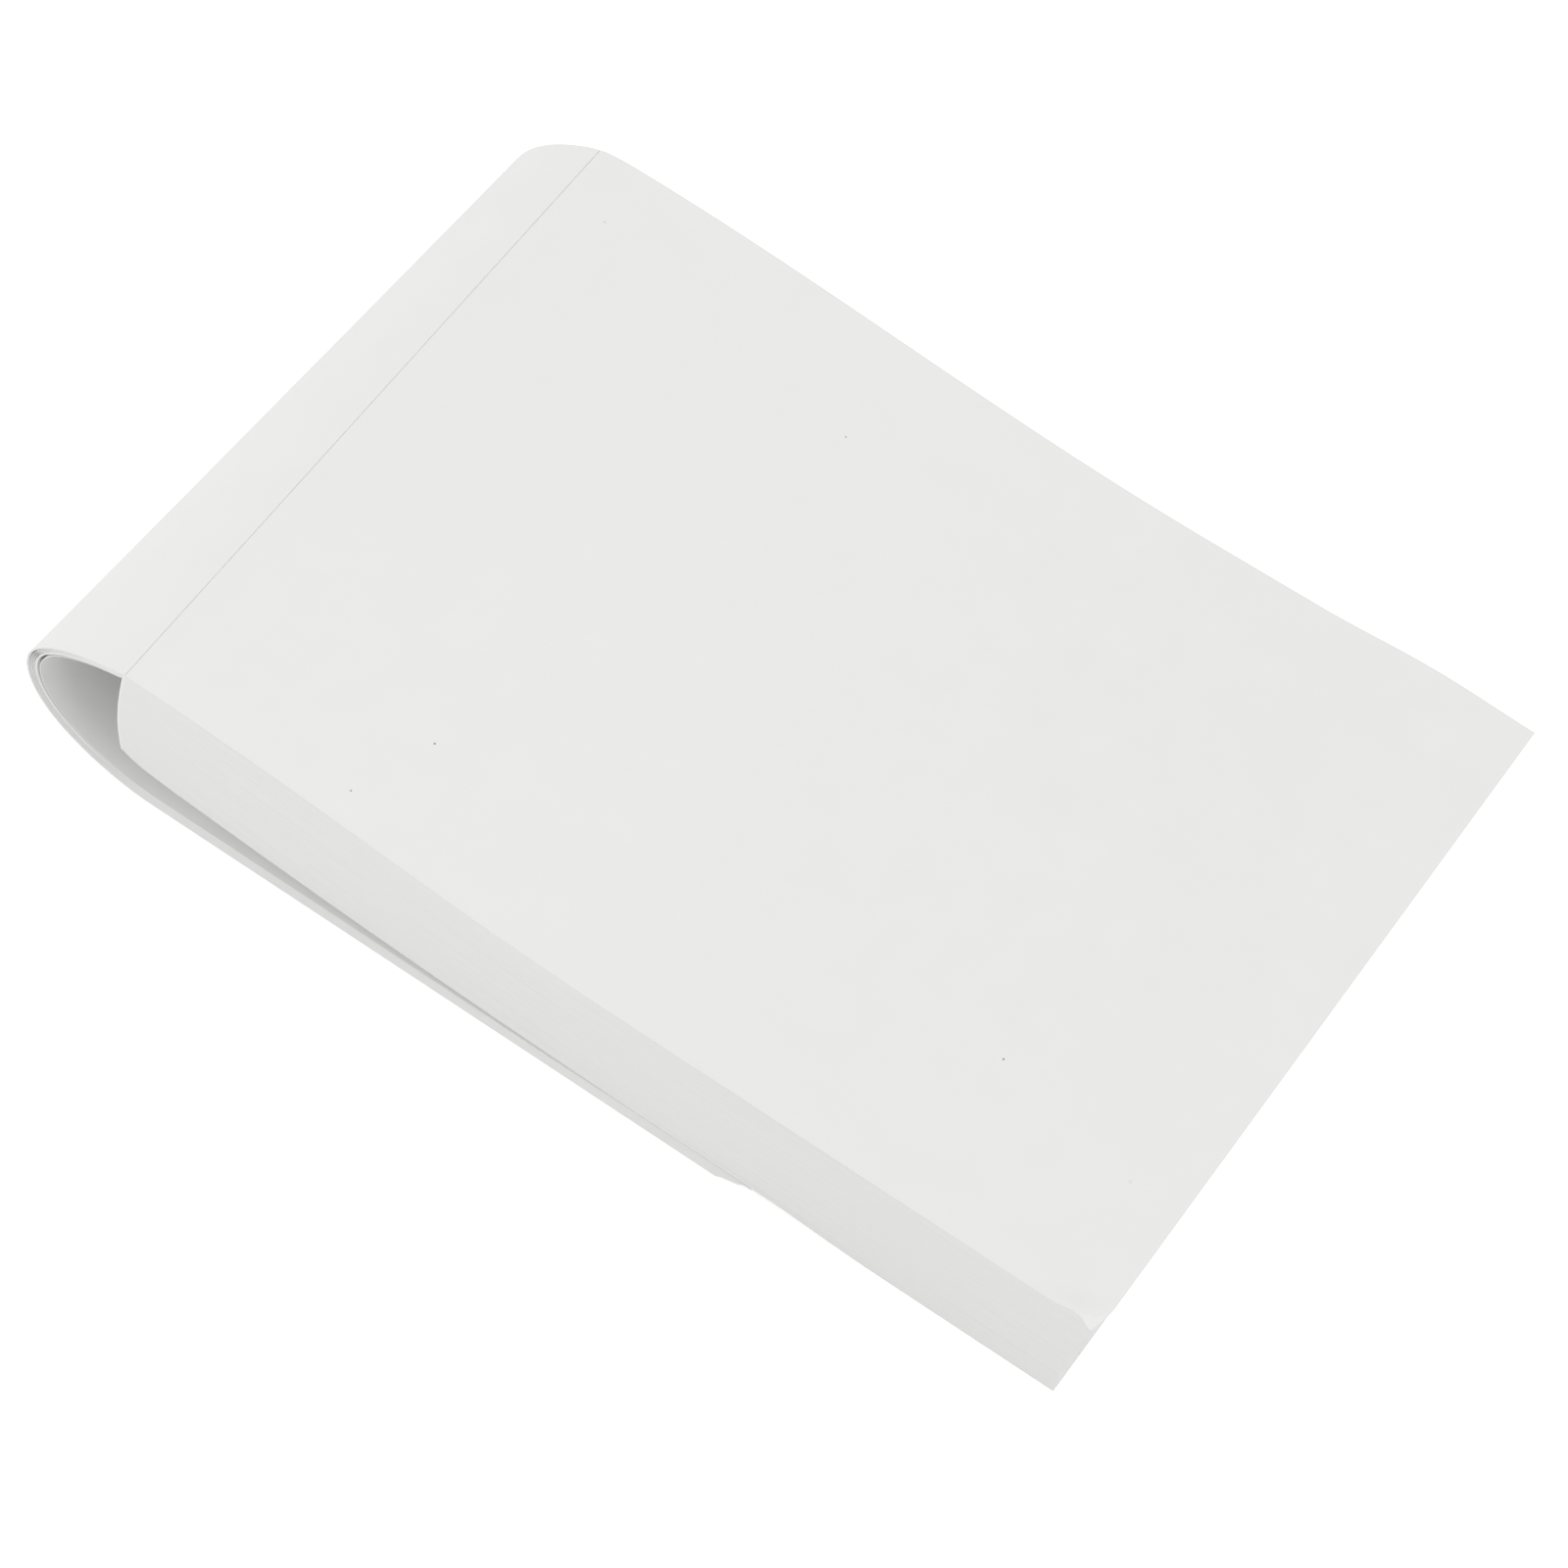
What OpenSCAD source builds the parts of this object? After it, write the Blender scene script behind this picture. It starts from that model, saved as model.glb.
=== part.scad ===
// Blank writing pad, glued along one short edge, with its first leaves turned
// over the glued edge and laid under the pad.
// X runs along the page from the glued edge to the free edge, Y across the page.
// The pad rests on Z = 0. Side 0 is the long side at low Y, side 1 the one at high Y.

/* [Page] */
// Width of a page, along the glued edge
page_w = 101.6; // [70:0.2:150]
// Length of a page, from the glued edge to the free edge
page_l = 149.5; // [125:0.5:200]
// Thickness of one sheet
sheet_t = 0.1; // [0.08:0.01:0.12]

/* [Page block] */
// Thickness of the block at its free end, where the pages lie loose
pad_t = 26; // [16:0.5:36]
// Thickness that the glue gives up against the loose pages
glue_squeeze = 3.1; // [2:0.1:4]
// Height of the glued edge's top above the top at the free end
bound_rise = 6; // [4:0.5:8]
// Length over which the top falls to its free end's height, on side 0
fall_run = 78; // [60:1:100]
// Length over which the top falls to its free end's height, on side 1
far_fall_run = 100; // [70:1:110]
// Height by which the pages of side 1 swell up behind the glued edge
far_swell = 1.8; // [0:0.1:2.4]
// Height by which the glued edge itself rises towards side 1
far_lift = 1; // [0:0.1:1.2]
// Height by which the lowest pages come up to the glue
foot_pull = 1.6; // [0.6:0.1:2.4]
// Length in which a page comes away from the glue to where it lies loose
hold_run = 1.8; // [1:0.1:4]
// Length over which the underside comes down onto the turned leaves
sag_run = 85; // [60:1:95]
// Length in which the underside comes down past the ends of the turned leaves
ramp_run = 20; // [10:1:24]
// Height of the low wave along side 1 near the free edge
wave_h = 1; // [0:0.1:1.5]
// Distance of that wave's crest from the free edge
wave_in = 15; // [10:1:30]
// Half the length of that wave
wave_half = 18; // [10:1:25]

/* [Edges of the block] */
// Distance by which the lowest page stands out past the top one at the glue
spine_bow = 3.6; // [0:0.1:5]
// Distance by which the lowest page's free edge lags behind the bow
free_lag = 1; // [0:0.1:2]

/* [Padding glue] */
// Thickness of the glue film
film_t = 0.35; // [0.2:0.05:0.8]
// Depth of the groove that shows above the film in the top of the pad
groove_d = 0.5; // [0.2:0.05:0.8]

/* [Turned leaves] */
// Number of leaves that are turned over the glued edge
leaves = 10; // [6:1:14]
// Widest space between the pairs of leaves, at the bend
pair_gap = 0.14; // [0.04:0.01:0.2]
// Widest space between the innermost leaf and the others, at the bend
part_gap = 0.44; // [0.1:0.02:0.8]
// Distance from the glued edge to the outermost point of the loop, on side 0
loop_reach = 18.5; // [14:0.1:24]
// The same distance on side 1
far_reach = 16.9; // [13:0.1:22]
// Height of the outermost point on side 0, as a share of the loop's height
belly_share = 0.5; // [0.4:0.01:0.6]
// The same share on side 1, where the loop hangs lower
far_belly_share = 0.28; // [0.26:0.01:0.6]
// Angle at which the leaves fall away from the glued edge on side 0
root_angle = 14; // [5:0.5:24]
// The same angle on side 1
far_root_angle = 26; // [5:0.5:30]
// Distance past the glued edge at which the loop lands on the surface
landing_x = 1.4; // [-2:0.1:4]
// Length of a leaf that its turn at the glue takes up
turn_take = 2.9; // [0:0.1:5]
// Distance by which the leaves slip towards side 0 on their way round
side_slip = 0.85; // [0:0.05:2]
// Space left between the leaves and the page that lies on them
rest_gap = 0.05; // [0.02:0.01:0.15]
// Slack in the pressed leaves where they leave the glue
root_slack = 0.15; // [0:0.05:0.4]
// Hair's breadth of air between leaves that lie on each other
leaf_gap = 0.02; // [0.01:0.01:0.05]

/* [Hidden] */

// Layers that part from each other round the bend, from the outermost one in: pairs of
// leaves, the leaf that is left over and the innermost one, as the leaves in each and the
// widest space behind it
PAIRS = floor((leaves - 1) / 2);
LEFT_OVER = leaves - 1 - 2 * PAIRS;
LAYERS = concat(
    [for (i = [1 : PAIRS]) [2, i == PAIRS && LEFT_OVER == 0 ? part_gap : pair_gap]],
    LEFT_OVER == 1 ? [[1, part_gap]] : [],
    [[1, 0]]
);
// Pull of a curve's handles, as a share of the way to the handle's corner
ROUND_PULL = 0.55;
DOWN_PULL = 0.61;
LANDING_PULL = 0.53;
// Steps in each half of the loop, along the long curves and along short ones
LOOP_STEPS = 22;
LONG_STEPS = 30;
SHORT_STEPS = 10;
ROUND_STEPS = 4;
// Power by which a space between layers dies away towards its two ends
SPREAD_POWER = 1.2;

turned_t = sheet_t * leaves;
pack_t = turned_t + leaf_gap * (len(LAYERS) - 1);
bound_t = pad_t - glue_squeeze;
root_t = pack_t + root_slack;
leaf_l = page_l - turn_take;
page_end = max(page_end_x(0), page_end_x(1));
centre_x = (page_end - loop_reach) / 2;
centre_y = -side_slip / 2;

function mix(a, b, k) = a + (b - a) * k;
function last(list) = list[len(list) - 1];
function sum(list, upto) = upto <= 0 ? 0 : list[upto - 1] + sum(list, upto - 1);
function reversed(list) = [for (i = [len(list) - 1 : -1 : 0]) list[i]];

// 1 up to x = 0, falling in a smooth S to 0 at x = run
function fall(x, run) = (1 + cos(180 * min(1, max(0, x / run)))) / 2;

// Point at t on a cubic curve with ends a and d and handles b and c
function cubic(a, b, c, d, t) =
    pow(1 - t, 3) * a + 3 * pow(1 - t, 2) * t * b + 3 * (1 - t) * t * t * c + pow(t, 3) * d;
function cubic_slope(a, b, c, d, t) =
    pow(1 - t, 2) * (b - a) + 2 * (1 - t) * t * (c - b) + t * t * (d - c);

// Length of a line of points
function run_of(points) =
    sum([for (i = [1 : len(points) - 1]) norm(points[i] - points[i - 1])], len(points) - 1);

// Page block: heights of its top and underside at x, on side k from 0 to 1
function bound_top(k) = pad_t + bound_rise + k * far_lift;
function top_rise(k) = bound_rise + k * far_swell;
function top_run(k) = mix(fall_run, far_fall_run, k);
function page_end_x(k) = page_l - pow(top_rise(k) * PI / 4, 2) / top_run(k);
function wave_z(x, k) =
    k * wave_h * fall(abs(x - page_end_x(k) + wave_in), wave_half);
function top_z(x, k) =
    pad_t + top_rise(k) * fall(x, top_run(k)) + wave_z(x, k)
    - k * (far_swell - far_lift) * exp(-x / hold_run);
function rest_end(k) = last(leaf_end(len(LAYERS) - 1, k))[0] + pack_t;
function foot_z(k) = bound_top(k) - bound_t;
function sag_share(x) = pow(max(0, 1 - x / sag_run), 2);
function sag_h(k) = (foot_z(k) - foot_pull - pack_t - rest_gap) / sag_share(-spine_bow);
function under_z(x, k) =
    (pack_t + rest_gap) * fall(x - rest_end(k), ramp_run) + sag_h(k) * sag_share(x)
    + foot_pull * exp(-(x + spine_bow) / hold_run);

// Glued edge: how far it stands out at height z, and its line from the groove to its foot
function spine_x(z, k) = -spine_bow * sin(90 * min(1, (bound_top(k) - z) / bound_t));
function spine_levels(k) = concat(
    [bound_top(k) - groove_d],
    [for (i = [0 : SHORT_STEPS]) mix(bound_top(k) - root_t, foot_z(k), i / SHORT_STEPS)]
);
function spine_line(k) = [for (z = spine_levels(k)) [spine_x(z, k), z]];

function film_outline(k) =
    concat(spine_line(k), reversed([for (p = spine_line(k)) p - [film_t, 0]]));
function film_cells() =
    let (n = len(film_outline(0)))
    [for (i = [0 : n / 2 - 2]) [i, i + 1, n - i - 2, n - i - 1]];

function free_edge(k) = [
    for (i = [0 : SHORT_STEPS])
        let (v = i / SHORT_STEPS, x = page_end_x(k) - spine_bow * sin(90 * v) - free_lag * v)
        [x, mix(top_z(page_end_x(k), k), under_z(x, k), v)]
];
function stretch(a, b, steps) = [for (i = [1 : steps]) mix(a, b, i / steps)];
function top_stops(k) = concat(
    [0, hold_run / 2, hold_run, hold_run * 2],
    stretch(hold_run * 2, page_end_x(k), LONG_STEPS + SHORT_STEPS + ROUND_STEPS - 1)
);
function under_stops(k) =
    let (start = hold_run * 2 - spine_bow, rest = rest_end(k))
    concat([hold_run / 2 - spine_bow, hold_run - spine_bow, start], stretch(start, rest, LONG_STEPS),
           stretch(rest, rest + ramp_run, SHORT_STEPS),
           stretch(rest + ramp_run, page_end_x(k) - 3 * (spine_bow + free_lag), ROUND_STEPS));
function block_outline(k) = concat(
    [for (x = top_stops(k)) [x, top_z(x, k)]],
    [for (i = [1 : SHORT_STEPS]) free_edge(k)[i]],
    reversed([for (x = under_stops(k)) [x, under_z(x, k)]]),
    reversed(spine_line(k))
);
// Convex cells that tile the block's end: columns between the top and the underside, and
// a fan at each short edge
function block_cells() =
    let (
        columns = len(top_stops(0)) - 1,
        foot = 2 * columns + 1 + SHORT_STEPS,
        glued = len(block_outline(0)) - foot - 1
    )
    concat(
        [for (i = [0 : columns - 1]) [i, i + 1, foot - i - 1, foot - i]],
        [for (i = [0 : SHORT_STEPS - 1]) [columns + i, columns + i + 1, foot - columns]],
        [for (i = [1 : glued]) [foot, foot + i, i == glued ? 0 : foot + i + 1]]
    );

// Turned leaves: the outer face of the loop on side k, as points with their inward normals
function reach(k) = mix(loop_reach, far_reach, k);
function belly(k) = [-reach(k), mix(belly_share, far_belly_share, k) * bound_top(k)];
function root_lead(k) = let (a = mix(root_angle, far_root_angle, k)) [cos(a), sin(a)];
function upper_handles(k) = [
    [-film_t, bound_top(k)],
    [-film_t, bound_top(k)] - ROUND_PULL * reach(k) * root_lead(k),
    belly(k) + [0, ROUND_PULL * (bound_top(k) - belly(k)[1])],
    belly(k)
];
function lower_handles(k) = [
    belly(k),
    belly(k) - [0, DOWN_PULL * belly(k)[1]],
    [landing_x - LANDING_PULL * (reach(k) + landing_x), 0],
    [landing_x, 0]
];
function on_curve(h, t) = cubic(h[0], h[1], h[2], h[3], t);
function inward(h, t) = let (s = cubic_slope(h[0], h[1], h[2], h[3], t)) [-s[1], s[0]] / norm(s);
function loop_points(k) = concat(
    [for (i = [0 : LOOP_STEPS]) on_curve(upper_handles(k), i / LOOP_STEPS)],
    [for (i = [1 : LOOP_STEPS]) on_curve(lower_handles(k), i / LOOP_STEPS)]
);
function loop_normals(k) = concat(
    [for (i = [0 : LOOP_STEPS]) inward(upper_handles(k), i / LOOP_STEPS)],
    [for (i = [1 : LOOP_STEPS]) inward(lower_handles(k), i / LOOP_STEPS)]
);

// How far the layers have parted, from 0 at the root and the landing to 1 at the belly
function spread(i) = pow(sin(90 * i / LOOP_STEPS), SPREAD_POWER);
// Thickness of layer n at step i: the slack of the root has gone at the belly
function layer_t(n, i) =
    LAYERS[n][0] * sheet_t * mix(1 + root_slack / turned_t, 1, min(1, i / LOOP_STEPS));
// Depth of layer n's outer side below the outer face of the loop, at step i
function depth(n, i) =
    n <= 0 ? 0 : depth(n - 1, i) + layer_t(n - 1, i) + leaf_gap + LAYERS[n - 1][1] * spread(i);
function at_depth(depths, k) =
    let (p = loop_points(k), q = loop_normals(k))
    [for (i = [0 : 2 * LOOP_STEPS]) p[i] + depths[i] * q[i]];
function outer_side(n, k) = at_depth([for (i = [0 : 2 * LOOP_STEPS]) depth(n, i)], k);
function inner_side(n, k) = at_depth([for (i = [0 : 2 * LOOP_STEPS]) depth(n, i) + layer_t(n, i)], k);
// Free end of layer n: all leaves are of one length, so the inner ones end later
function leaf_end(n, k) = [
    for (line = [outer_side(n, k), inner_side(n, k)])
        [landing_x + leaf_l - run_of(line), last(line)[1]]
];
// The leaves' end at the glue: its top, where the groove ends, and its lower corner
function root_end(k) = [
    for (z = [0, groove_d, root_t])
        [spine_x(bound_top(k) - z, k) - film_t, bound_top(k) - z]
];
// From the glue, each layer runs out along its inner side, round its free end and back
// along its outer side, the innermost layer first; all of them are joined at the glue
function leaves_outline(k) = concat(
    root_end(k),
    [
        for (n = [len(LAYERS) - 1 : -1 : 0])
            let (out = outer_side(n, k), back = inner_side(n, k))
            each concat([for (i = [1 : 2 * LOOP_STEPS]) back[i]], reversed(leaf_end(n, k)),
                        [for (i = [2 * LOOP_STEPS : -1 : 1]) out[i]])
    ]
);
// Convex cells that tile the leaves' end: a row along each layer, and a fan at the glue
function leaves_cells() =
    let (
        side = 2 * LOOP_STEPS + 1,
        starts = [for (n = [0 : len(LAYERS) - 1]) len(root_end(0)) + 2 * side * n],
        rim = concat([2], [for (s = starts) each [s, s + 2 * side - 1]], [0])
    )
    concat(
        [
            for (s = starts, i = [0 : side - 2])
                [s + i, s + i + 1, s + 2 * side - i - 2, s + 2 * side - i - 1]
        ],
        [for (i = [0 : len(rim) - 2]) [1, rim[i], rim[i + 1]]]
    );

// Where a side lies in Y at height z; the leaves lean over as they slip sideways
function side_y(k, z, slip) = mix(-page_w / 2, page_w / 2, k) - slip * (1 - z / bound_top(k));

// Solid between an outline as it stands on side 0 and on side 1; the cells tile its ends
module across(low, high, cells, slip = 0) {
    n = len(low);
    polyhedron(
        points = concat(
            [for (p = low) [p[0], side_y(0, p[1], slip), p[1]]],
            [for (p = high) [p[0], side_y(1, p[1], slip), p[1]]]
        ),
        faces = concat(
            cells,
            [for (cell = cells) reversed([for (i = cell) n + i])],
            [for (i = [0 : n - 1]) [i, n + i, (i + 1) % n]],
            [for (i = [0 : n - 1]) [(i + 1) % n, n + i, n + (i + 1) % n]]
        )
    );
}

// Puts the middle of the whole pad's footprint on the origin
module placed() {
    translate([-centre_x, -centre_y, 0]) children();
}

module page_block() {
    color("whitesmoke") placed() across(block_outline(0), block_outline(1), block_cells());
}

module binding_glue() {
    color("ghostwhite") placed() across(film_outline(0), film_outline(1), film_cells());
}

module turned_leaves() {
    color("white") placed() across(leaves_outline(0), leaves_outline(1), leaves_cells(), side_slip);
}

page_block();
binding_glue();
turned_leaves();
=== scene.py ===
"""A blank writing pad, its first leaves turned over the glued edge and laid under it."""
import logging
import math
from dataclasses import dataclass, field
from enum import Enum
from functools import lru_cache
from typing import Any, Optional

import bmesh
import bpy
from mathutils import Matrix, Vector


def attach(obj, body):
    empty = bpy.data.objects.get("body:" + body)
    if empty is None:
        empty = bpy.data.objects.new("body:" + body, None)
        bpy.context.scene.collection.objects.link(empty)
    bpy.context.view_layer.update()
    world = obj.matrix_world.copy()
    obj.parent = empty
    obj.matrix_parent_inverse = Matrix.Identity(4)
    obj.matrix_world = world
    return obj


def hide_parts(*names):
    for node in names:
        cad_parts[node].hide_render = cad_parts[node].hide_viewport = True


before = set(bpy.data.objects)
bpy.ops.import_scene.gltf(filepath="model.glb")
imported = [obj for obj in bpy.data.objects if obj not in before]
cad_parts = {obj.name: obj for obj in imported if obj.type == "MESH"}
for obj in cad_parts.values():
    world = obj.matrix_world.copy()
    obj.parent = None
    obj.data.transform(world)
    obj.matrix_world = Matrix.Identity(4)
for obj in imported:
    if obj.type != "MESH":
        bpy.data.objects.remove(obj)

LOG = logging.getLogger("writing_pad")
MM = 0.001
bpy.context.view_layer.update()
LOOP_CHORDS = 40  # straight steps that a loop's length is measured with
HAIR = 0.001  # shares that differ by less count as the same


class Side(Enum):
    """The two long sides of the pad, as the share of the way across the page."""

    NEAR = 0.0
    FAR = 1.0


class Face(Enum):
    """Which finish a face of the page stack wears, as its place in the material slots."""

    WRITTEN = 0
    TRIMMED = 1
    UNDER = 2


def mix(a: float, b: float, share: float) -> float:
    """Returns the value at a share of the way from a to b."""
    return a + (b - a) * share


def fall(x: float, run: float) -> float:
    """Returns 1 up to x = 0, falling in a smooth S to 0 at x = run."""
    return (1 + math.cos(math.pi * min(1.0, max(0.0, x / run)))) / 2


def eased(share: float, pull: float) -> float:
    """Crowds evenly spaced shares towards 0 and 1.

    Args:
        share: Evenly spaced share from 0 to 1.
        pull: How strongly they crowd, from 0 (not at all) to below 1.

    Returns:
        The crowded share, still from 0 to 1.
    """
    return share - pull * math.sin(2 * math.pi * share) / (2 * math.pi)


def linear(hex_colour: str) -> tuple[float, float, float, float]:
    """Turns an sRGB hex colour into the linear colour that a shader socket takes.

    Args:
        hex_colour: Colour as "#RRGGBB".

    Returns:
        Linear red, green, blue and an alpha of 1.
    """
    channels = [int(hex_colour[i : i + 2], 16) / 255 for i in (1, 3, 5)]
    values = [c / 12.92 if c <= 0.04045 else ((c + 0.055) / 1.055) ** 2.4 for c in channels]
    return (*values, 1.0)


def add_node(
    tree: bpy.types.NodeTree,
    kind: str,
    settings: Optional[dict[str, Any]] = None,
    inputs: Optional[dict[Any, Any]] = None,
) -> bpy.types.Node:
    """Adds one node to a material or world.

    Args:
        tree: Node tree that gets the node.
        kind: The node's type, such as "ShaderNodeTexNoise".
        settings: Attribute values of the node.
        inputs: Socket name or number to a value, or to another node's output to link.

    Returns:
        The new node.
    """
    node = tree.nodes.new(kind)
    for key, value in (settings or {}).items():
        setattr(node, key, value)
    for key, value in (inputs or {}).items():
        if isinstance(value, bpy.types.NodeSocket):
            tree.links.new(value, node.inputs[key])
        else:
            node.inputs[key].default_value = value
    return node


@dataclass(frozen=True)
class PadSizes:
    """Sizes of the pad in millimetres and degrees, as in the part's source.

    The spaces are the air between each turned leaf and the next at the belly of the
    loop. In all they are as deep as in the source, where the leaves part in pairs.
    """

    page_w: float = 101.6
    page_l: float = 149.5
    sheet_t: float = 0.1
    leaves: int = 10
    pad_t: float = 26.0
    glue_squeeze: float = 3.1
    bound_rise: float = 6.0
    fall_run: float = 78.0
    far_fall_run: float = 100.0
    far_swell: float = 1.8
    far_lift: float = 1.0
    foot_pull: float = 1.6
    hold_run: float = 1.8
    sag_run: float = 85.0
    ramp_run: float = 20.0
    wave_h: float = 1.0
    wave_in: float = 15.0
    wave_half: float = 18.0
    spine_bow: float = 3.6
    free_lag: float = 1.0
    film_t: float = 0.35
    groove_d: float = 0.5
    loop_reach: float = 18.5
    far_reach: float = 16.9
    belly_share: float = 0.5
    far_belly_share: float = 0.28
    root_angle: float = 14.0
    far_root_angle: float = 26.0
    landing_x: float = 1.4
    turn_take: float = 2.9
    side_slip: float = 0.85
    rest_gap: float = 0.05
    root_slack: float = 0.15
    pack_t: float = 1.1
    round_pull: float = 0.55
    down_pull: float = 0.61
    landing_pull: float = 0.53
    spread_power: float = 1.2
    spaces: tuple[float, ...] = (0.0, 0.0, 0.17, 0.13, 0.13, 0.13, 0.0, 0.0, 0.44)


@dataclass(frozen=True)
class PadForm:
    """The pad's curves, in pad millimetres: x = 0 at the groove, z = 0 on the table."""

    sizes: PadSizes = field(default_factory=PadSizes)

    def bound_top(self, k: float) -> float:
        """Returns the height of the glued edge's top at a share k of the width."""
        return self.sizes.pad_t + self.sizes.bound_rise + k * self.sizes.far_lift

    @property
    def bound_t(self) -> float:
        """Returns the thickness of the pages that the glue presses together."""
        return self.sizes.pad_t - self.sizes.glue_squeeze

    @property
    def shift(self) -> Vector:
        """Returns the step from pad millimetres to the frame's origin."""
        end = max(self.page_end(side.value) for side in Side)
        return Vector(((self.sizes.loop_reach - end) / 2, self.sizes.side_slip / 2, 0.0))

    def framed(self, x: float, y: float, z: float) -> Vector:
        """Turns a point in pad millimetres into frame metres."""
        return (Vector((x, y, z)) + self.shift) * MM

    def page_end(self, k: float) -> float:
        """Returns where the top page's free edge lies, at a share k of the width."""
        s = self.sizes
        rise = s.bound_rise + k * s.far_swell
        return s.page_l - (rise * math.pi / 4) ** 2 / mix(s.fall_run, s.far_fall_run, k)

    def top(self, x: float, k: float) -> float:
        """Returns the height of the top page at x and a share k of the width."""
        s = self.sizes
        rise = s.bound_rise + k * s.far_swell
        body = rise * fall(x, mix(s.fall_run, s.far_fall_run, k))
        held = k * (s.far_swell - s.far_lift) * math.exp(-max(0.0, x) / s.hold_run)
        wave = k * s.wave_h * fall(abs(x - self.page_end(k) + s.wave_in), s.wave_half)
        return s.pad_t + body - held + wave

    def foot(self, k: float) -> float:
        """Returns the height of the glued edge's lower corner at a share k of the width."""
        return self.bound_top(k) - self.bound_t

    def under(self, x: float, k: float) -> float:
        """Returns the height of the lowest page at x and a share k of the width."""
        s = self.sizes
        lying = s.pack_t + s.rest_gap
        sag = (self.foot(k) - s.foot_pull - lying) / (1 + s.spine_bow / s.sag_run) ** 2
        rest = lying * fall(x - self.leaf_end(s.leaves - 1, k) - s.pack_t, s.ramp_run)
        pull = s.foot_pull * math.exp(-(x + s.spine_bow) / s.hold_run)
        return rest + sag * max(0.0, 1 - x / s.sag_run) ** 2 + pull

    def spine(self, z: float, k: float) -> float:
        """Returns where the glued edge lies at height z and a share k of the width."""
        share = min(1.0, (self.bound_top(k) - z) / self.bound_t)
        return -self.sizes.spine_bow * math.sin(math.pi / 2 * share)

    def spine_start(self, w: float, k: float) -> float:
        """Returns where the page at a share w of the stack's height starts at the glue."""
        return self.spine(mix(self.foot(k), self.bound_top(k), w), k)

    def free_end(self, w: float, k: float) -> float:
        """Returns where the page at a share w of the stack's height ends."""
        s = self.sizes
        down = 1 - w
        return self.page_end(k) - s.spine_bow * math.sin(math.pi / 2 * down) - s.free_lag * down

    def side_y(self, k: float, z: float, slip: float = 0.0) -> float:
        """Returns the place across the page, for pages that slip sideways below the top."""
        lean = slip * (1 - z / self.bound_top(k))
        return mix(-self.sizes.page_w / 2, self.sizes.page_w / 2, k) - lean

    def reach(self, k: float) -> float:
        """Returns how far the loop stands out at a share k of the width."""
        return mix(self.sizes.loop_reach, self.sizes.far_reach, k)

    def outer(self, s: float, k: float) -> tuple[Vector, Vector]:
        """Gives the loop's outer face on one long side.

        Args:
            s: Place along the loop: 0 at the glue, 1 at the belly, 2 where it lands.
            k: 0 on the near side, 1 on the far side.

        Returns:
            The point and its inward normal, each as (x, z).
        """
        size, reach, top = self.sizes, self.reach(k), self.bound_top(k)
        belly = Vector((-reach, mix(size.belly_share, size.far_belly_share, k) * top))
        if s <= 1:
            root = Vector((-size.film_t, top))
            angle = math.radians(mix(size.root_angle, size.far_root_angle, k))
            lead = Vector((math.cos(angle), math.sin(angle))) * size.round_pull * reach
            rise = Vector((0, size.round_pull * (top - belly.y)))
            a, b, c, d, t = root, root - lead, belly + rise, belly, s
        else:
            land = Vector((size.landing_x, 0))
            drop = Vector((0, size.down_pull * belly.y))
            lead = Vector((size.landing_pull * (reach + size.landing_x), 0))
            a, b, c, d, t = belly, belly - drop, land - lead, land, s - 1
        u = 1 - t
        point = u**3 * a + 3 * u * u * t * b + 3 * u * t * t * c + t**3 * d
        along = u * u * (b - a) + 2 * u * t * (c - b) + t * t * (d - c)
        return point, Vector((-along.y, along.x)).normalized()

    def depth(self, leaf: int, s: float) -> float:
        """Returns how deep a leaf's outer side lies below the loop's outer face."""
        size = self.sizes
        slack = 1 + size.root_slack * max(0.0, 1 - s)
        parted = max(0.0, math.sin(math.pi / 2 * s)) ** size.spread_power
        hair = (size.pack_t - size.leaves * size.sheet_t) / (size.leaves - 1)
        return leaf * (size.sheet_t * slack + hair) + sum(size.spaces[:leaf]) * parted

    def leaf_line(self, leaf: int, s: float, k: float) -> Vector:
        """Returns the point (x, z) on a leaf's outer side on one long side."""
        point, inward = self.outer(s, k)
        return point + inward * self.depth(leaf, s)

    @lru_cache(maxsize=None)
    def side_end(self, leaf: int, side: Side) -> float:
        """Returns where a turned leaf ends on one long side; all leaves are of one length."""
        steps = [2 * i / LOOP_CHORDS for i in range(LOOP_CHORDS + 1)]
        line = [self.leaf_line(leaf, step, side.value) for step in steps]
        run = sum((b - a).length for a, b in zip(line, line[1:]))
        return self.sizes.landing_x + self.sizes.page_l - self.sizes.turn_take - run

    def leaf_end(self, leaf: int, k: float) -> float:
        """Returns where a turned leaf's free edge lies at a share k of the width."""
        return mix(self.side_end(leaf, Side.NEAR), self.side_end(leaf, Side.FAR), k)


@dataclass(frozen=True)
class Speck:
    """A speck of dust: place in frame millimetres, radius in millimetres, and darkness."""

    x: float
    y: float
    radius: float
    strength: float


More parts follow.
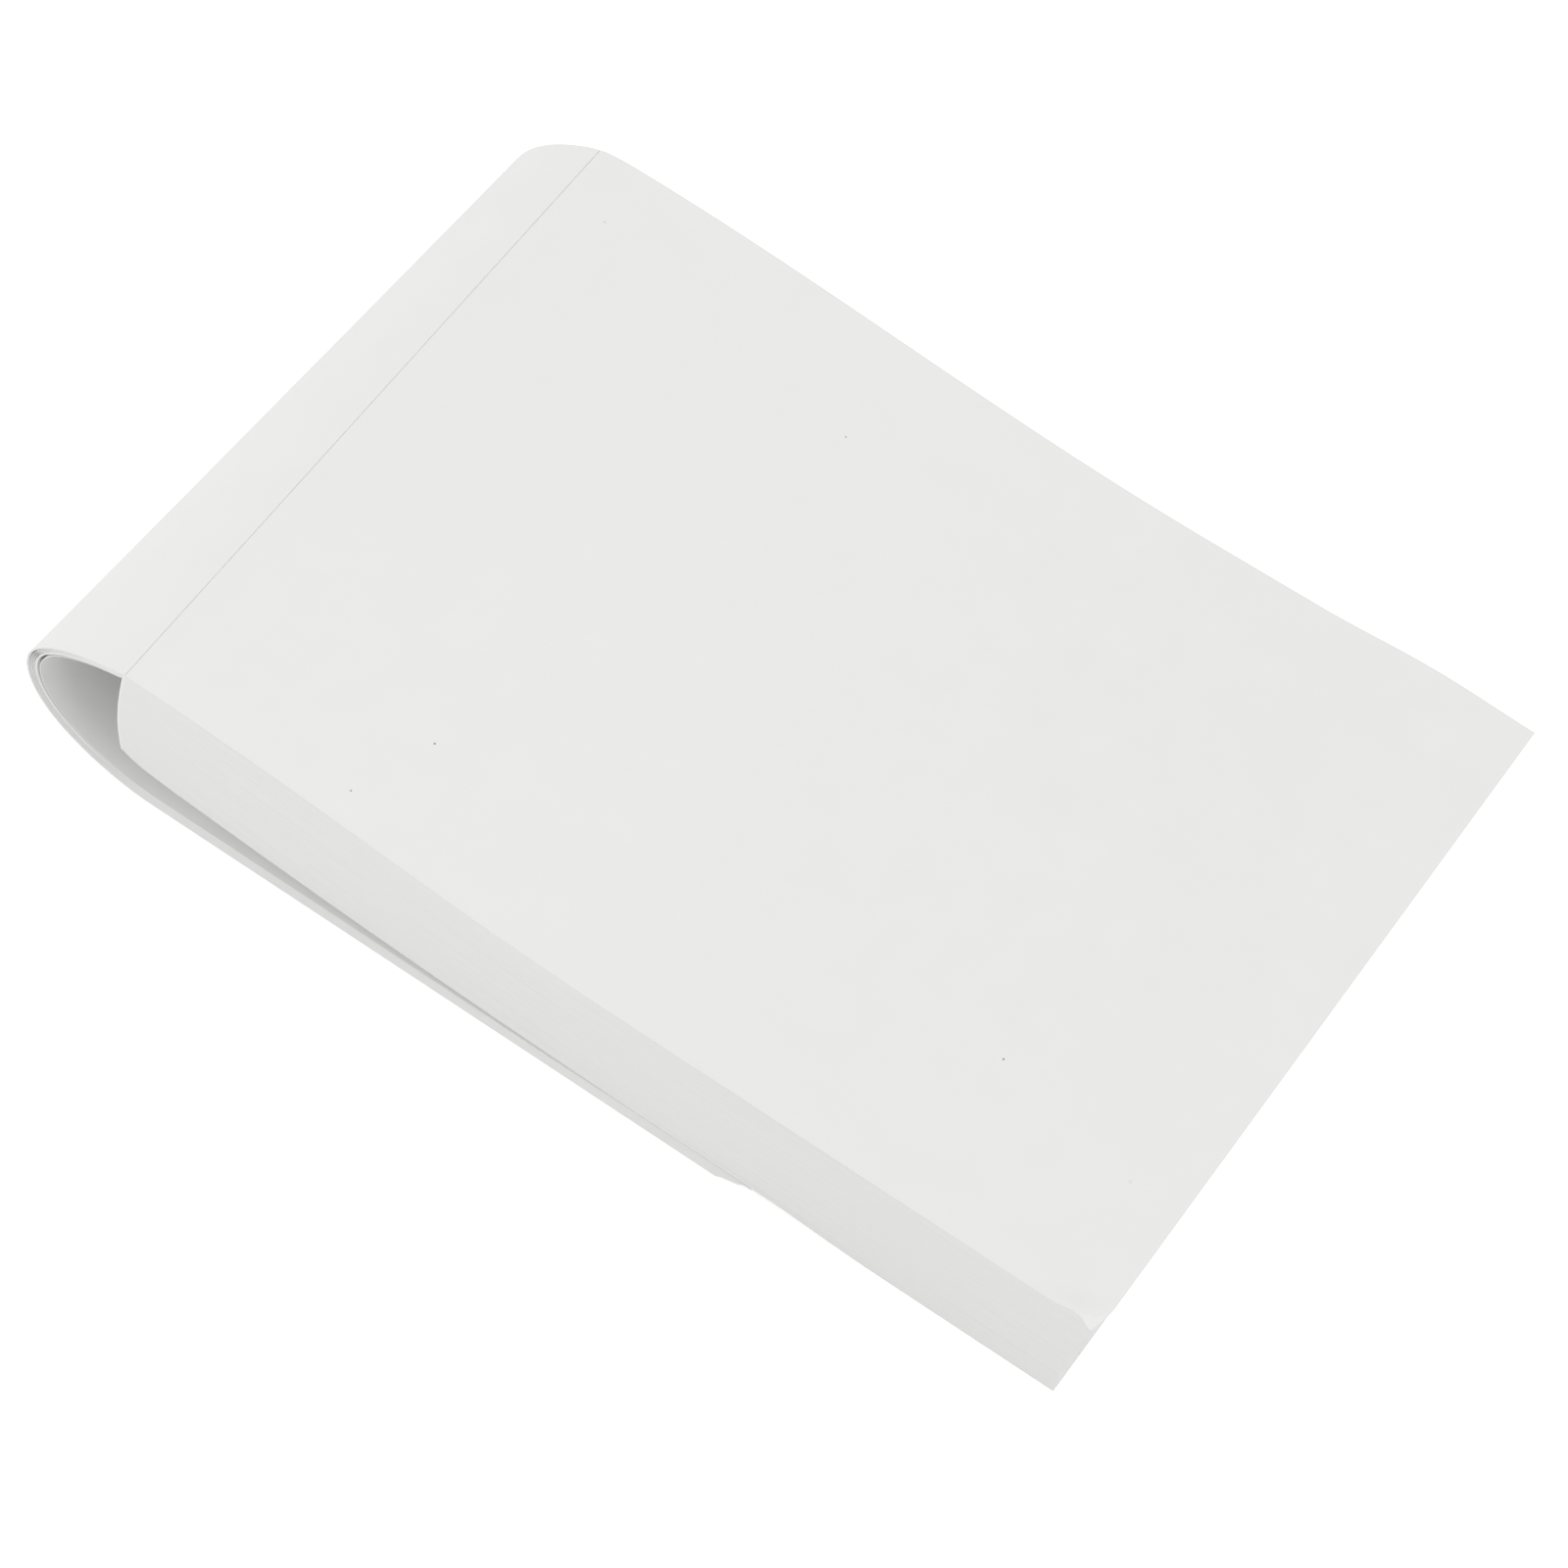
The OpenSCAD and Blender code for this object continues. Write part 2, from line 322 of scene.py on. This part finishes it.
@dataclass(frozen=True)
class WritingPaper:
    """Uncoated woodfree writing paper, machine finished.

    It is dull, with a very faint cloudiness where its fibres lie thicker, and a
    fine felt grain. Dust specks lie on the page that faces up.
    """

    name: str = "uncoated_writing_paper"
    white: str = "#F3F3F2"
    cloudy: str = "#F0F0EF"
    speck: str = "#8A8A88"
    roughness: float = 0.9
    specular: float = 0.25
    cloud_mm: float = 7.0
    grain_mm: float = 0.45  # the real grain is about 0.1 mm, too fine to show in the picture
    grain_height_mm: float = 0.012
    grain_strength: float = 0.35
    speck_core: float = 0.4  # share of a speck's radius that is full dark
    specks: tuple[Speck, ...] = ()

    def speck_cover(
        self, tree: bpy.types.NodeTree, place: bpy.types.NodeSocket
    ) -> Optional[bpy.types.NodeSocket]:
        """Adds the nodes that cover the page with its specks.

        Args:
            tree: The material's node tree.
            place: Object coordinates.

        Returns:
            How much of a speck covers the point, or None where there are no specks.
        """
        cover = None
        flat = add_node(
            tree, "ShaderNodeVectorMath", {"operation": "MULTIPLY"}, {0: place, 1: (1.0, 1.0, 0.0)}
        )
        for speck in self.specks:
            away = add_node(
                tree,
                "ShaderNodeVectorMath",
                {"operation": "DISTANCE"},
                {0: flat.outputs[0], 1: (speck.x * MM, speck.y * MM, 0.0)},
            )
            edge = speck.radius * MM
            dot = add_node(
                tree,
                "ShaderNodeMapRange",
                {"interpolation_type": "SMOOTHSTEP"},
                {0: away.outputs["Value"], 1: edge * self.speck_core, 2: edge, 3: speck.strength, 4: 0.0},
            )
            if cover is None:
                cover = dot.outputs[0]
            else:
                both = add_node(
                    tree, "ShaderNodeMath", {"operation": "MAXIMUM"}, {0: cover, 1: dot.outputs[0]}
                )
                cover = both.outputs[0]
        return cover

    def build(self) -> bpy.types.Material:
        """Returns the material with its nodes."""
        material = bpy.data.materials.new(self.name)
        material.use_nodes = True
        tree = material.node_tree
        shader = tree.nodes["Principled BSDF"]
        shader.inputs["Roughness"].default_value = self.roughness
        shader.inputs["Specular IOR Level"].default_value = self.specular
        place = add_node(tree, "ShaderNodeTexCoord").outputs["Object"]
        cloud = add_node(
            tree,
            "ShaderNodeTexNoise",
            inputs={"Vector": place, "Scale": 1 / (self.cloud_mm * MM), "Detail": 3.0, "Roughness": 0.55},
        )
        colour = add_node(
            tree,
            "ShaderNodeMix",
            {"data_type": "RGBA"},
            {0: cloud.outputs[0], 6: linear(self.cloudy), 7: linear(self.white)},
        ).outputs[2]
        cover = self.speck_cover(tree, place)
        if cover is not None:
            colour = add_node(
                tree, "ShaderNodeMix", {"data_type": "RGBA"}, {0: cover, 6: colour, 7: linear(self.speck)}
            ).outputs[2]
        tree.links.new(colour, shader.inputs["Base Color"])
        grain = add_node(
            tree,
            "ShaderNodeTexNoise",
            inputs={"Vector": place, "Scale": 1 / (self.grain_mm * MM), "Detail": 2.0},
        )
        bump = add_node(
            tree,
            "ShaderNodeBump",
            inputs={
                "Strength": self.grain_strength,
                "Distance": self.grain_height_mm * MM,
                "Height": grain.outputs[0],
            },
        )
        tree.links.new(bump.outputs[0], shader.inputs["Normal"])
        return material


@dataclass(frozen=True)
class TrimmedStack:
    """The guillotined edges of many sheets.

    The knife leaves a smooth wall in which the sheets still show as hair lines. The
    wall is painted a shade darker than the page, as painted shade on the side that
    faces away from the light, and some lines darker still, as painted shade where
    sheets lie back or stand apart.
    """

    name: str = "trimmed_sheet_edges_painted_shade"
    # Painted shade: the edge is the same paper as the page, coloured darker because the side wall faces
    # away from the light
    edge: str = "#E8E8E7"
    # Painted shade: the hair lines are darker still, for the shade between sheets
    line: str = "#E4E4E3"
    roughness: float = 0.95
    specular: float = 0.15
    sheets_a_line: float = 4.0  # single 0.1 mm sheets are too fine to show, so lines are of four
    line_run_mm: float = 40.0
    line_height_mm: float = 0.01
    line_strength: float = 0.12
    darkest: float = 0.35  # noise at which a line gets its full painted shade
    lightest: float = 0.6  # noise from which the edge is plain

    def build(self) -> bpy.types.Material:
        """Returns the material with its nodes; it reads the piece's own map of its sheets."""
        material = bpy.data.materials.new(self.name)
        material.use_nodes = True
        tree = material.node_tree
        shader = tree.nodes["Principled BSDF"]
        shader.inputs["Roughness"].default_value = self.roughness
        shader.inputs["Specular IOR Level"].default_value = self.specular
        place = add_node(tree, "ShaderNodeUVMap", {"uv_map": "sheet_map"}).outputs[0]
        drawn = add_node(
            tree,
            "ShaderNodeMapping",
            inputs={"Vector": place, "Scale": (1 / self.line_run_mm, 1 / self.sheets_a_line, 1.0)},
        )
        lines = add_node(
            tree,
            "ShaderNodeTexNoise",
            inputs={"Vector": drawn.outputs[0], "Scale": 1.0, "Detail": 3.0, "Roughness": 0.65},
        )
        shade = add_node(
            tree,
            "ShaderNodeMapRange",
            inputs={0: lines.outputs[0], 1: self.darkest, 2: self.lightest, 3: 0.0, 4: 1.0},
        )
        # Painted shade on the trimmed sides: darker edge colour, darker still along the noisy hair lines
        colour = add_node(
            tree,
            "ShaderNodeMix",
            {"data_type": "RGBA"},
            {0: shade.outputs[0], 6: linear(self.line), 7: linear(self.edge)},
        )
        tree.links.new(colour.outputs[2], shader.inputs["Base Color"])
        bump = add_node(
            tree,
            "ShaderNodeBump",
            inputs={
                "Strength": self.line_strength,
                "Distance": self.line_height_mm * MM,
                "Height": lines.outputs[0],
            },
        )
        tree.links.new(bump.outputs[0], shader.inputs["Normal"])
        return material


@dataclass(frozen=True)
class PaddingGlue:
    """White padding compound, a PVA brushed on the stack and dried to a rubbery film.

    It has a faint sheen and the soft ridges that the brush left along the edge.
    """

    name: str = "brushed_padding_glue"
    film: str = "#F0F0EC"
    thin: str = "#E8E8E4"
    roughness: float = 0.5
    ior: float = 1.46
    ridge_mm: float = 2.5
    ridge_squash: float = 0.08  # the ridges run along the edge, so the pattern is drawn out there
    ridge_height_mm: float = 0.05
    ridge_strength: float = 0.5

    def build(self) -> bpy.types.Material:
        """Returns the material with its nodes."""
        material = bpy.data.materials.new(self.name)
        material.use_nodes = True
        tree = material.node_tree
        shader = tree.nodes["Principled BSDF"]
        shader.inputs["Roughness"].default_value = self.roughness
        shader.inputs["IOR"].default_value = self.ior
        place = add_node(tree, "ShaderNodeTexCoord").outputs["Object"]
        drawn = add_node(
            tree, "ShaderNodeMapping", inputs={"Vector": place, "Scale": (1.0, self.ridge_squash, 1.0)}
        )
        ridges = add_node(
            tree,
            "ShaderNodeTexNoise",
            inputs={"Vector": drawn.outputs[0], "Scale": 1 / (self.ridge_mm * MM), "Detail": 3.0},
        )
        colour = add_node(
            tree,
            "ShaderNodeMix",
            {"data_type": "RGBA"},
            {0: ridges.outputs[0], 6: linear(self.thin), 7: linear(self.film)},
        )
        tree.links.new(colour.outputs[2], shader.inputs["Base Color"])
        bump = add_node(
            tree,
            "ShaderNodeBump",
            inputs={
                "Strength": self.ridge_strength,
                "Distance": self.ridge_height_mm * MM,
                "Height": ridges.outputs[0],
            },
        )
        tree.links.new(bump.outputs[0], shader.inputs["Normal"])
        return material


def finished_piece(
    name: str, shape: bmesh.types.BMesh, materials: list[bpy.types.Material], sharp_deg: float
) -> bpy.types.Object:
    """Turns a finished bmesh into an object at the origin.

    Args:
        name: The piece's name.
        shape: Its mesh, already in frame metres; it is freed.
        materials: Its material slots, in order.
        sharp_deg: Edges that turn by more than this stay sharp.

    Returns:
        The new object, linked to the scene.
    """
    bmesh.ops.recalc_face_normals(shape, faces=shape.faces[:])
    for face in shape.faces:
        face.smooth = True
    mesh = bpy.data.meshes.new(name)
    shape.to_mesh(mesh)
    shape.free()
    mesh.set_sharp_from_angle(angle=math.radians(sharp_deg))
    for material in materials:
        mesh.materials.append(material)
    piece = bpy.data.objects.new(name, mesh)
    bpy.context.scene.collection.objects.link(piece)
    return piece


def all_at(spots: list[tuple], axis: int, share: float) -> bool:
    """Returns whether all corners of a face lie at one share of the unit cube's axis."""
    return all(abs(spot[axis] - share) < HAIR for spot in spots)


@dataclass
class PageStack:
    """The pages that still lie on top, trimmed on three sides and glued on the fourth.

    The near corner at the free edge is crumpled: its tip is bent down, and the near
    edge buckles up just before it. The cuts crowd towards the edges, where the
    stack bends most.
    """

    form: PadForm
    run_cuts: int = 99
    width_cuts: int = 47
    height_cuts: int = 53
    crowd: float = 0.75
    height_crowd: float = 0.5
    sheets: float = 260.0
    sharp_deg: float = 35.0
    settle_run_mm: float = 7.0
    crumple_run_mm: float = 2.6
    crumple_width_mm: float = 3.2
    crumple_drop_mm: float = 1.5
    crumple_back: float = 0.7
    crumple_depth_mm: float = 2.0
    buckle_in_mm: float = 3.6
    buckle_half_mm: float = 3.4
    buckle_lift_mm: float = 0.9

    def crumple(self, x: float, y: float, deep: float) -> float:
        """Gives how far the bent near corner of the top pages comes down.

        Args:
            x: Place along the page.
            y: Place across the page.
            deep: Depth below the top page.

        Returns:
            The drop in millimetres.
        """
        from_end = self.form.page_end(0.0) - x
        from_side = y + self.form.sizes.page_w / 2
        share = max(0.0, 1 - from_end / self.crumple_run_mm - from_side / self.crumple_width_mm)
        return self.crumple_drop_mm * share * math.exp(-deep / self.crumple_depth_mm)

    def buckle(self, x: float, y: float, deep: float) -> float:
        """Returns how far the near edge stands up just before its bent corner."""
        from_side = y + self.form.sizes.page_w / 2
        away = abs(self.form.page_end(0.0) - self.buckle_in_mm - x)
        share = fall(away, self.buckle_half_mm) * fall(from_side, self.buckle_half_mm)
        return self.buckle_lift_mm * share * math.exp(-deep / self.crumple_depth_mm)

    def place(self, u: float, v: float, w: float) -> tuple[float, float, float]:
        """Puts a point of the unit cube into the stack.

        Args:
            u: Share of the way along the page, from the glue.
            v: Share of the way across it, from the near side.
            w: Share of the stack's height.

        Returns:
            The point in pad millimetres.
        """
        # At the glue each page is measured up from the foot, wherever the bow lets it start
        start = self.form.spine_start(w, v)
        x = mix(start, self.form.free_end(w, v), eased(u, self.crowd))
        y = self.form.side_y(v, 0.0)
        back = (start + self.form.sizes.spine_bow) * max(0.0, 1 - (x - start) / self.settle_run_mm)
        low, high = self.form.under(x - back, v), self.form.top(x, v)
        z = mix(low, high, w)
        bent = self.crumple(x, y, high - z)
        return x - bent * self.crumple_back, y, z - bent + self.buckle(x, y, high - z)

    def cut_cube(self) -> bmesh.types.BMesh:
        """Returns a unit cube, cut into a grid on every side, its corner at the origin."""
        shape = bmesh.new()
        bmesh.ops.create_cube(shape, size=1.0, matrix=Matrix.Translation((0.5, 0.5, 0.5)))
        for axis, cuts in enumerate((self.run_cuts, self.width_cuts, self.height_cuts)):
            along = [e for e in shape.edges if abs((e.verts[0].co - e.verts[1].co)[axis]) > 0.5]
            bmesh.ops.subdivide_edges(shape, edges=along, cuts=cuts, use_grid_fill=True)
        return shape

    def shaped(self) -> bmesh.types.BMesh:
        """Returns the stack's mesh with its finishes and its map of the sheets."""
        shape = self.cut_cube()
        sheet_map = shape.loops.layers.uv.new("sheet_map")
        places = {}
        for vert in shape.verts:
            u, v, w = vert.co
            height = eased(w, self.height_crowd)
            places[vert] = (u, v, w, self.place(u, eased(v, self.crowd), height))
        for face in shape.faces:
            spots = [places[vert] for vert in face.verts]
            across = all_at(spots, 0, 0.0) or all_at(spots, 0, 1.0)
            kind = Face.TRIMMED
            if all_at(spots, 2, 1.0):
                kind = Face.WRITTEN
            elif all_at(spots, 2, 0.0):
                kind = Face.UNDER
            face.material_index = kind.value
            for loop in face.loops:
                _, _, w, spot = places[loop.vert]
                sheet = eased(w, self.height_crowd) * self.sheets
                loop[sheet_map].uv = (spot[1] if across else spot[0], sheet)
        for vert, (_, _, _, spot) in places.items():
            vert.co = self.form.framed(*spot)
        return shape

    def build(self, paper: WritingPaper, edges: TrimmedStack) -> bpy.types.Object:
        """Builds the stack.

        Args:
            paper: Finish of the page that faces up.
            edges: Finish of the trimmed sides.

        Returns:
            The piece, riding on the part's only body.
        """
        plain = WritingPaper(name="uncoated_writing_paper_back")
        materials = [paper.build(), edges.build(), plain.build()]
        piece = finished_piece("page_stack", self.shaped(), materials, self.sharp_deg)
        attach(piece, "root")
        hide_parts("page_block")
        return piece


@dataclass
class TurnedLeaves:
    """The first leaves, each a sheet of its own, looped over the glued edge.

    The outer leaves reach over the film of glue, and leave a hair line beside the
    page. Under the pad the outermost leaf has slipped sideways the most.
    """

    form: PadForm
    along: int = 76
    across: int = 16
    loop_share: float = 0.62
    thickness_share: float = 0.9
    mouth_mm: float = 0.05
    inner_slip_share: float = 0.15
    sharp_deg: float = 45.0

    def point(self, leaf: int, a: float, k: float, under: bool) -> tuple[float, float, float]:
        """Places a point of a leaf.

        Args:
            leaf: Number of the leaf, from 0 outermost.
            a: Share of the way from the glue to the free edge.
            k: Share of the way across, from the near side.
            under: True for the leaf's inner side.

        Returns:
            The point in pad millimetres.
        """
        size = self.form.sizes
        thick = size.sheet_t * self.thickness_share if under else 0.0
        s = min(2.0, 2 * a / self.loop_share)
        ends = []
        for side in Side:
            point, inward = self.form.outer(s, side.value)
            ends.append(point + inward * (self.form.depth(leaf, s) + thick))
        x, z = ends[0].lerp(ends[1], k)
        if a > self.loop_share:
            rest = (a - self.loop_share) / (1 - self.loop_share)
            x = mix(size.landing_x, self.form.leaf_end(leaf, k), rest)
        if a == 0.0:
            over_film = z > self.form.bound_top(k) - size.groove_d
            x = -self.mouth_mm if over_film else self.form.spine(z, k) - size.film_t
        slip = size.side_slip * mix(1.0, self.inner_slip_share, leaf / (size.leaves - 1))
        return x, self.form.side_y(k, z, slip), z

    def add_leaf(self, shape: bmesh.types.BMesh, leaf: int) -> None:
        """Adds one leaf to the mesh as a closed thin sheet.

        Args:
            shape: Mesh that gets the leaf.
            leaf: Number of the leaf, from 0 outermost.
        """
        made = bmesh.ops.create_grid(shape, x_segments=self.along, y_segments=self.across, size=0.5)
        outer = made["verts"]
        shares = {vert: (vert.co.x + 0.5, vert.co.y + 0.5) for vert in outer}
        faces = list({face for vert in outer for face in vert.link_faces})
        for vert, (a, k) in shares.items():
            vert.co = self.form.framed(*self.point(leaf, a, k, False))
        lookup = {tuple(round(c, 9) for c in vert.co): shares[vert] for vert in outer}
        grown = bmesh.ops.extrude_face_region(shape, geom=faces)
        for vert in [g for g in grown["geom"] if isinstance(g, bmesh.types.BMVert)]:
            a, k = lookup[tuple(round(c, 9) for c in vert.co)]
            vert.co = self.form.framed(*self.point(leaf, a, k, True))

    def build(self, paper: WritingPaper) -> bpy.types.Object:
        """Builds the turned leaves.

        Args:
            paper: Finish of the leaves.

        Returns:
            The piece, riding on the part's only body.
        """
        shape = bmesh.new()
        for leaf in range(self.form.sizes.leaves):
            self.add_leaf(shape, leaf)
        piece = finished_piece("turned_sheets", shape, [paper.build()], self.sharp_deg)
        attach(piece, "root")
        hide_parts("turned_leaves")
        return piece


@dataclass
class GlueFilm:
    """The film of glue along the short edge; its shape comes from the frame."""

    node: str = "binding_glue"

    def dress(self, glue: PaddingGlue) -> bpy.types.Object:
        """Gives the film its finish.

        Args:
            glue: Finish of the film.

        Returns:
            The film's object.
        """
        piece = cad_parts[self.node]
        material = glue.build()
        for slot in piece.material_slots:
            slot.material = material
        return piece


@dataclass(frozen=True)
class StudioCamera:
    """The camera, fitted to the photograph: pad millimetres, degrees and a 36 mm sensor."""

    place: tuple[float, float, float] = (236.71, -249.65, 539.93)
    heading: float = -34.166
    tilt: float = 60.779
    roll: float = 1.4565
    lens: float = 106.196

    def build(self, form: PadForm) -> bpy.types.Object:
        """Makes the camera and sets it as the scene's.

        Args:
            form: The pad's form, for the step to the frame's origin.

        Returns:
            The camera object.
        """
        a, e, r = (math.radians(v) for v in (self.heading, self.tilt, self.roll))
        forward = Vector((math.sin(a) * math.cos(e), math.cos(a) * math.cos(e), -math.sin(e)))
        right = Vector((math.cos(a), -math.sin(a), 0.0))
        up = right.cross(forward)
        turned_right = right * math.cos(r) + up * math.sin(r)
        turned_up = up * math.cos(r) - right * math.sin(r)
        data = bpy.data.cameras.new("studio_camera")
        data.lens = self.lens
        data.sensor_width = 36.0
        data.clip_start, data.clip_end = 0.01, 20.0
        camera = bpy.data.objects.new("studio_camera", data)
        bpy.context.scene.collection.objects.link(camera)
        turn = Matrix((turned_right, turned_up, -forward)).transposed()
        camera.matrix_world = Matrix.Translation(form.framed(*self.place)) @ turn.to_4x4()
        bpy.context.scene.camera = camera
        return camera


@dataclass(frozen=True)
class SoftLamp:
    """A square lamp that points at the pad: place and side in metres, power in watts."""

    name: str
    place: tuple[float, float, float]
    side: float
    watts: float

    def build(self) -> bpy.types.Object:
        """Returns the lamp's object."""
        data = bpy.data.lights.new(self.name, "AREA")
        data.shape = "SQUARE"
        data.size = self.side
        data.energy = self.watts
        lamp = bpy.data.objects.new(self.name, data)
        bpy.context.scene.collection.objects.link(lamp)
        lamp.location = self.place
        lamp.rotation_euler = (-Vector(self.place)).to_track_quat("-Z", "Y").to_euler()
        return lamp


@dataclass
class Studio:
    """A white table and soft light from all round, with three broad lamps."""

    table_size: float = 6.0
    table_drop_mm: float = 0.06
    table_white: str = "#F8F8F8"
    seen_white: float = 0.45
    sky: float = 0.80
    lamps: tuple[SoftLamp, ...] = (
        SoftLamp("lamp_over_glued_edge", (-0.9, 0.7, 1.5), 1.2, 2.4),
        SoftLamp("lamp_before_loop", (-0.4, -0.55, 0.25), 0.4, 0.74),
        SoftLamp("lamp_past_free_edge", (1.6, -0.1, 0.4), 1.0, 4.5),
    )

    def table(self) -> bpy.types.Object:
        """Returns the table, which keeps the pad's shadow and is seen as white."""
        shape = bmesh.new()
        bmesh.ops.create_grid(shape, x_segments=2, y_segments=2, size=self.table_size / 2)
        bmesh.ops.translate(shape, verts=shape.verts[:], vec=(0.0, 0.0, -self.table_drop_mm * MM))
        mesh = bpy.data.meshes.new("table")
        shape.to_mesh(mesh)
        shape.free()
        material = bpy.data.materials.new("white_table")
        material.use_nodes = True
        tree = material.node_tree
        shader = tree.nodes["Principled BSDF"]
        shader.inputs["Base Color"].default_value = linear(self.table_white)
        shader.inputs["Roughness"].default_value = 1.0
        shader.inputs["Specular IOR Level"].default_value = 0.0
        path = add_node(tree, "ShaderNodeLightPath")
        seen = add_node(
            tree,
            "ShaderNodeMath",
            {"operation": "MULTIPLY"},
            {0: path.outputs["Is Camera Ray"], 1: self.seen_white},
        )
        shader.inputs["Emission Color"].default_value = (1.0, 1.0, 1.0, 1.0)
        tree.links.new(seen.outputs[0], shader.inputs["Emission Strength"])
        mesh.materials.append(material)
        table = bpy.data.objects.new("table", mesh)
        bpy.context.scene.collection.objects.link(table)
        return table

    def light(self) -> None:
        """Sets the even sky and the lamps."""
        world = bpy.data.worlds.new("soft_white_room")
        world.use_nodes = True
        tree = world.node_tree
        back = tree.nodes["Background"]
        path = add_node(tree, "ShaderNodeLightPath")
        strength = add_node(
            tree,
            "ShaderNodeMapRange",
            inputs={0: path.outputs["Is Camera Ray"], 1: 0.0, 2: 1.0, 3: self.sky, 4: 1.0},
        )
        tree.links.new(strength.outputs[0], back.inputs["Strength"])
        back.inputs["Color"].default_value = (1.0, 1.0, 1.0, 1.0)
        bpy.context.scene.world = world
        for lamp in self.lamps:
            lamp.build()

    def build(self) -> None:
        """Sets up the whole studio."""
        self.table()
        self.light()
        bpy.context.scene.view_settings.view_transform = "Standard"


# Dust on the page that faces up
DUST = (
    Speck(-57.5, 41.6, 0.16, 0.5),
    Speck(-28.3, -34.2, 0.2, 0.9),
    Speck(-32.6, -45.9, 0.18, 0.8),
    Speck(-12.9, 34.7, 0.17, 0.7),
    Speck(54.4, -27.2, 0.2, 0.9),
    Speck(76.2, -31.9, 0.3, 0.12),
)


def main() -> None:
    """Builds the pad, the studio and the camera."""
    logging.basicConfig(level=logging.INFO, format="%(message)s")
    form = PadForm()
    page = WritingPaper(specks=DUST)
    stack = PageStack(form).build(page, TrimmedStack())
    sheets = TurnedLeaves(form).build(WritingPaper(name="uncoated_writing_paper_turned"))
    film = GlueFilm().dress(PaddingGlue())
    for piece in (stack, sheets, film):
        LOG.info("%s: %d faces", piece.name, len(piece.data.polygons))
    Studio().build()
    StudioCamera().build(form)


if __name__ == "__main__":
    main()
